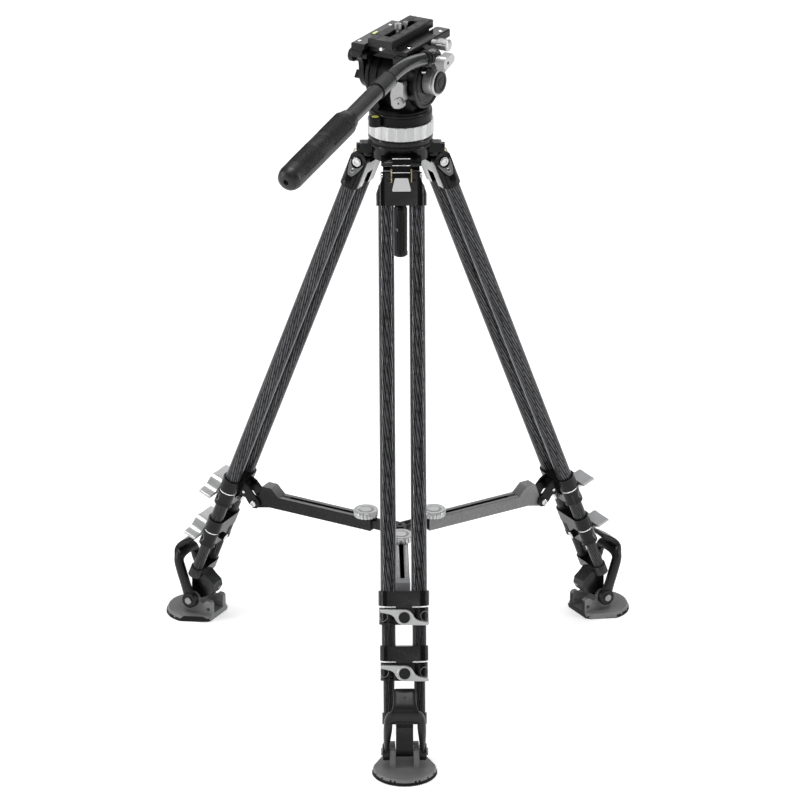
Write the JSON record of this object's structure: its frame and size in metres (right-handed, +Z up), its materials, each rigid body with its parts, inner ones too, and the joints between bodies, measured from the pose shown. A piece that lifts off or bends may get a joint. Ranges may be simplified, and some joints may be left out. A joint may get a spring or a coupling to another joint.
{
  "type": "video tripod",
  "caption": "Collapsed twin-tube video tripod with mid-level spreader, rubber feet and a bowl-mounted fluid head with sliding camera plate and pan bar.",
  "frame": {"origin": "the point where the pan axis meets the floor, with the tripod standing on its three pads", "axes": "+Z up along the pan axis, -Y along the front leg, +X to the right seen from the front"},
  "size_m": [0.6964, 0.6155, 0.9894],
  "materials": {
    "black_casting": "satin black powder coat",
    "carbon_tube": "carbon fibre, satin lacquer",
    "silver": "bead-blasted satin",
    "steel": "machined",
    "black_plastic": "matte",
    "grey_anodised": "dark anodised",
    "pad_rubber": "matte",
    "strap_rubber": "satin",
    "grip_rubber": "textured",
    "button": "gloss"
  },
  "bodies": {
    "crown": {"crown": "black_casting", "hinge_pins": "steel", "ball_base": "black_casting"},
    "bowl_handle": {"bowl_handle": "black_plastic"},
    "drag_ring": {"drag_ring": "silver"},
    "pan_body": {"pan_body": "black_casting"},
    "tilt_lock": {"tilt_lock": "silver"},
    "tilt_body": {"tilt_body": "black_casting"},
    "drag_knob": {"drag_knob": "silver"},
    "plate": {"plate": "grey_anodised"},
    "screw_wide": {"screw_wide": "steel"},
    "screw_slim": {"screw_slim": "steel"},
    "plate_knob": {"plate_knob": "silver"},
    "release_button": {"release_button": "button"},
    "handle_arm": {"handle_arm": "grey_anodised"},
    "handle_wing": {"handle_wing": "silver"},
    "handle_tube": {"handle_tube": "grey_anodised"},
    "hub": {"hub": "black_casting"},
    "leg_front": {"leg_front": "black_casting", "upper_tubes_front": "carbon_tube", "upper_clamp_front": "black_casting"},
    "middle_front": {"middle_tubes_front": "carbon_tube", "lower_clamp_front": "black_casting"},
    "lower_front": {"lower_stage_front": "carbon_tube"},
    "upper_lever_front": {"upper_lever_front": "silver"},
    "lower_lever_front": {"lower_lever_front": "silver"},
    "foot_lever_front": {"foot_lever_front": "strap_rubber"},
    "pad_front": {"pad_front": "pad_rubber"},
    "angle_tab_front": {"angle_tab_front": "silver"},
    "arm_front": {"arm_front": "grey_anodised"},
    "tongue_front": {"tongue_front": "grey_anodised"},
    "arm_knob_front": {"arm_knob_front": "silver"},
    "leg_left": {"leg_left": "black_casting", "upper_tubes_left": "carbon_tube", "upper_clamp_left": "black_casting"},
    "middle_left": {"middle_tubes_left": "carbon_tube", "lower_clamp_left": "black_casting"},
    "lower_left": {"lower_stage_left": "carbon_tube"},
    "upper_lever_left": {"upper_lever_left": "silver"},
    "lower_lever_left": {"lower_lever_left": "silver"},
    "foot_lever_left": {"foot_lever_left": "strap_rubber"},
    "pad_left": {"pad_left": "pad_rubber"},
    "angle_tab_left": {"angle_tab_left": "silver"},
    "arm_left": {"arm_left": "grey_anodised"},
    "tongue_left": {"tongue_left": "grey_anodised"},
    "arm_knob_left": {"arm_knob_left": "silver"},
    "leg_right": {"leg_right": "black_casting", "upper_tubes_right": "carbon_tube", "upper_clamp_right": "black_casting"},
    "middle_right": {"middle_tubes_right": "carbon_tube", "lower_clamp_right": "black_casting"},
    "lower_right": {"lower_stage_right": "carbon_tube"},
    "upper_lever_right": {"upper_lever_right": "silver"},
    "lower_lever_right": {"lower_lever_right": "silver"},
    "foot_lever_right": {"foot_lever_right": "strap_rubber"},
    "pad_right": {"pad_right": "pad_rubber"},
    "angle_tab_right": {"angle_tab_right": "silver"},
    "arm_right": {"arm_right": "grey_anodised"},
    "tongue_right": {"tongue_right": "grey_anodised"},
    "arm_knob_right": {"arm_knob_right": "silver"}
  },
  "joints": [
    {"name": "pan", "type": "hinge", "parent": "crown", "child": "pan_body", "pos_m": [0, 0, 0.911], "axis": [0, 0, 1], "continuous": true},
    {"name": "pan_drag", "type": "hinge", "parent": "crown", "child": "drag_ring", "pos_m": [0, 0, 0.838], "axis": [0, 0, 1], "range_deg": [0, 300]},
    {"name": "bowl_lock", "type": "hinge", "parent": "crown", "child": "bowl_handle", "pos_m": [0, 0, 0.7], "axis": [0, 0, 1], "range_deg": [-180, 180]},
    {"name": "tilt", "type": "hinge", "parent": "pan_body", "child": "tilt_body", "pos_m": [0, 0, 0.911], "axis": [-0.8572, 0.515, 0], "range_deg": [-25, 60]},
    {"name": "tilt_drag", "type": "hinge", "parent": "pan_body", "child": "drag_knob", "pos_m": [0.04457, -0.02678, 0.911], "axis": [-0.8572, 0.515, 0], "range_deg": [-270, 0]},
    {"name": "tilt_clamp", "type": "hinge", "parent": "pan_body", "child": "tilt_lock", "pos_m": [-0.00295, -0.05539, 0.904], "axis": [0.515, 0.8572, 0], "range_deg": [0, 90]},
    {"name": "plate_slide", "type": "slide", "parent": "tilt_body", "child": "plate", "axis": [0.515, 0.8572, 0], "range_m": [-0.035, 0.035]},
    {"name": "wide_screw_turn", "type": "hinge", "parent": "plate", "child": "screw_wide", "pos_m": [-0.00381, -0.00634, 0.985], "axis": [0, 0, 1], "range_deg": [0, 360]},
    {"name": "slim_screw_turn", "type": "hinge", "parent": "plate", "child": "screw_slim", "pos_m": [0.00695, 0.01157, 0.982], "axis": [0, 0, 1], "range_deg": [0, 360]},
    {"name": "plate_lock", "type": "hinge", "parent": "tilt_body", "child": "plate_knob", "pos_m": [0.05864, -0.0189, 0.962], "axis": [-0.8572, 0.515, 0], "range_deg": [-90, 0]},
    {"name": "release_press", "type": "slide", "parent": "plate", "child": "release_button", "axis": [0.515, 0.8572, 0], "range_m": [0, 0.002], "stiffness_N_per_m": 600},
    {"name": "bar_angle", "type": "hinge", "parent": "tilt_body", "child": "handle_arm", "pos_m": [0.03959, -0.03895, 0.947], "axis": [-0.8572, 0.515, 0], "range_deg": [-25, 60]},
    {"name": "bar_clamp", "type": "hinge", "parent": "handle_arm", "child": "handle_wing", "pos_m": [0.05845, -0.05029, 0.947], "axis": [-0.8572, 0.515, 0], "range_deg": [0, 90]},
    {"name": "bar_extend", "type": "slide", "parent": "handle_arm", "child": "handle_tube", "axis": [-0.502, -0.8355, -0.2233], "range_m": [0, 0.07]},
    {"name": "hub_rise", "type": "slide", "parent": "crown", "child": "hub", "axis": [0, 0, 1], "range_m": [-0.0026, 0.013]},
    {"name": "leg_fold_front", "type": "hinge", "parent": "crown", "child": "leg_front", "pos_m": [0, -0.0552, 0.7806], "axis": [-1, 0, 0], "range_deg": [-2, 12]},
    {"name": "middle_slide_front", "type": "slide", "parent": "leg_front", "child": "middle_front", "axis": [0, -0.3714, -0.9285], "range_m": [0, 0.42]},
    {"name": "lower_slide_front", "type": "slide", "parent": "middle_front", "child": "lower_front", "axis": [0, -0.3714, -0.9285], "range_m": [0, 0.42]},
    {"name": "upper_clamp_turn_front", "type": "hinge", "parent": "leg_front", "child": "upper_lever_front", "pos_m": [0, -0.30907, 0.22128], "axis": [0, -0.9285, 0.3714], "range_deg": [0, 60]},
    {"name": "lower_clamp_turn_front", "type": "hinge", "parent": "middle_front", "child": "lower_lever_front", "pos_m": [0, -0.33629, 0.14784], "axis": [0, -0.9285, 0.3714], "range_deg": [0, 60]},
    {"name": "angle_release_front", "type": "hinge", "parent": "leg_front", "child": "angle_tab_front", "pos_m": [0, -0.0692, 0.7806], "axis": [-1, 0, 0], "range_deg": [0, 18], "stiffness_Nm_per_rad": 0.15},
    {"name": "foot_level_front", "type": "hinge", "parent": "lower_front", "child": "pad_front", "pos_m": [0, -0.345, 0.0295], "axis": [-1, 0, 0], "range_deg": [-12, 2]},
    {"name": "foot_strap_front", "type": "hinge", "parent": "lower_front", "child": "foot_lever_front", "pos_m": [0, -0.345, 0.0295], "axis": [1, 0, 0], "range_deg": [0, 55]},
    {"name": "arm_swing_front", "type": "hinge", "parent": "leg_front", "child": "arm_front", "pos_m": [0, -0.2385, 0.207], "axis": [-1, 0, 0], "range_deg": [-5.6, 1]},
    {"name": "arm_extend_front", "type": "slide", "parent": "arm_front", "child": "tongue_front", "axis": [0, 1, 0], "range_m": [-0.0197, 0.1177]},
    {"name": "arm_clamp_front", "type": "hinge", "parent": "arm_front", "child": "arm_knob_front", "pos_m": [0, -0.057, 0.227], "axis": [0, 0, 1], "range_deg": [0, 360]},
    {"name": "leg_fold_left", "type": "hinge", "parent": "crown", "child": "leg_left", "pos_m": [-0.04781, 0.0276, 0.7806], "axis": [0.5, 0.866, 0], "range_deg": [-2, 12]},
    {"name": "middle_slide_left", "type": "slide", "parent": "leg_left", "child": "middle_left", "axis": [-0.3216, 0.1857, -0.9285], "range_m": [0, 0.42]},
    {"name": "lower_slide_left", "type": "slide", "parent": "middle_left", "child": "lower_left", "axis": [-0.3216, 0.1857, -0.9285], "range_m": [0, 0.42]},
    {"name": "upper_clamp_turn_left", "type": "hinge", "parent": "leg_left", "child": "upper_lever_left", "pos_m": [-0.26766, 0.15453, 0.22128], "axis": [-0.8041, 0.4642, 0.3714], "range_deg": [0, 60]},
    {"name": "lower_clamp_turn_left", "type": "hinge", "parent": "middle_left", "child": "lower_lever_left", "pos_m": [-0.29124, 0.16814, 0.14784], "axis": [-0.8041, 0.4642, 0.3714], "range_deg": [0, 60]},
    {"name": "angle_release_left", "type": "hinge", "parent": "leg_left", "child": "angle_tab_left", "pos_m": [-0.05993, 0.0346, 0.7806], "axis": [0.5, 0.866, 0], "range_deg": [0, 18], "stiffness_Nm_per_rad": 0.15},
    {"name": "foot_level_left", "type": "hinge", "parent": "lower_left", "child": "pad_left", "pos_m": [-0.29878, 0.1725, 0.0295], "axis": [0.5, 0.866, 0], "range_deg": [-12, 2]},
    {"name": "foot_strap_left", "type": "hinge", "parent": "lower_left", "child": "foot_lever_left", "pos_m": [-0.29878, 0.1725, 0.0295], "axis": [-0.5, -0.866, 0], "range_deg": [0, 55]},
    {"name": "arm_swing_left", "type": "hinge", "parent": "leg_left", "child": "arm_left", "pos_m": [-0.20655, 0.11925, 0.207], "axis": [0.5, 0.866, 0], "range_deg": [-5.6, 1]},
    {"name": "arm_extend_left", "type": "slide", "parent": "arm_left", "child": "tongue_left", "axis": [0.866, -0.5, 0], "range_m": [-0.0197, 0.1177]},
    {"name": "arm_clamp_left", "type": "hinge", "parent": "arm_left", "child": "arm_knob_left", "pos_m": [-0.04936, 0.0285, 0.227], "axis": [0, 0, 1], "range_deg": [0, 360]},
    {"name": "leg_fold_right", "type": "hinge", "parent": "crown", "child": "leg_right", "pos_m": [0.04781, 0.0276, 0.7806], "axis": [0.5, -0.866, 0], "range_deg": [-2, 12]},
    {"name": "middle_slide_right", "type": "slide", "parent": "leg_right", "child": "middle_right", "axis": [0.3216, 0.1857, -0.9285], "range_m": [0, 0.42]},
    {"name": "lower_slide_right", "type": "slide", "parent": "middle_right", "child": "lower_right", "axis": [0.3216, 0.1857, -0.9285], "range_m": [0, 0.42]},
    {"name": "upper_clamp_turn_right", "type": "hinge", "parent": "leg_right", "child": "upper_lever_right", "pos_m": [0.26766, 0.15453, 0.22128], "axis": [0.8041, 0.4642, 0.3714], "range_deg": [0, 60]},
    {"name": "lower_clamp_turn_right", "type": "hinge", "parent": "middle_right", "child": "lower_lever_right", "pos_m": [0.29124, 0.16814, 0.14784], "axis": [0.8041, 0.4642, 0.3714], "range_deg": [0, 60]},
    {"name": "angle_release_right", "type": "hinge", "parent": "leg_right", "child": "angle_tab_right", "pos_m": [0.05993, 0.0346, 0.7806], "axis": [0.5, -0.866, 0], "range_deg": [0, 18], "stiffness_Nm_per_rad": 0.15},
    {"name": "foot_level_right", "type": "hinge", "parent": "lower_right", "child": "pad_right", "pos_m": [0.29878, 0.1725, 0.0295], "axis": [0.5, -0.866, 0], "range_deg": [-12, 2]},
    {"name": "foot_strap_right", "type": "hinge", "parent": "lower_right", "child": "foot_lever_right", "pos_m": [0.29878, 0.1725, 0.0295], "axis": [-0.5, 0.866, 0], "range_deg": [0, 55]},
    {"name": "arm_swing_right", "type": "hinge", "parent": "leg_right", "child": "arm_right", "pos_m": [0.20655, 0.11925, 0.207], "axis": [0.5, -0.866, 0], "range_deg": [-5.6, 1]},
    {"name": "arm_extend_right", "type": "slide", "parent": "arm_right", "child": "tongue_right", "axis": [-0.866, -0.5, 0], "range_m": [-0.0197, 0.1177]},
    {"name": "arm_clamp_right", "type": "hinge", "parent": "arm_right", "child": "arm_knob_right", "pos_m": [0.04936, 0.0285, 0.227], "axis": [0, 0, 1], "range_deg": [0, 360]}
  ],
  "couplings": [
    {"joint": "hub_rise", "follows": "leg_fold_front", "m_per_rad": 0.05985},
    {"joint": "foot_level_front", "follows": "leg_fold_front", "ratio": -1},
    {"joint": "arm_swing_front", "follows": "leg_fold_front", "ratio": -0.4612},
    {"joint": "arm_extend_front", "follows": "leg_fold_front", "m_per_rad": 0.5598},
    {"joint": "leg_fold_left", "follows": "leg_fold_front", "ratio": 1},
    {"joint": "foot_level_left", "follows": "leg_fold_front", "ratio": -1},
    {"joint": "arm_swing_left", "follows": "leg_fold_front", "ratio": -0.4612},
    {"joint": "arm_extend_left", "follows": "leg_fold_front", "m_per_rad": 0.5598},
    {"joint": "leg_fold_right", "follows": "leg_fold_front", "ratio": 1},
    {"joint": "foot_level_right", "follows": "leg_fold_front", "ratio": -1},
    {"joint": "arm_swing_right", "follows": "leg_fold_front", "ratio": -0.4612},
    {"joint": "arm_extend_right", "follows": "leg_fold_front", "m_per_rad": 0.5598}
  ]
}
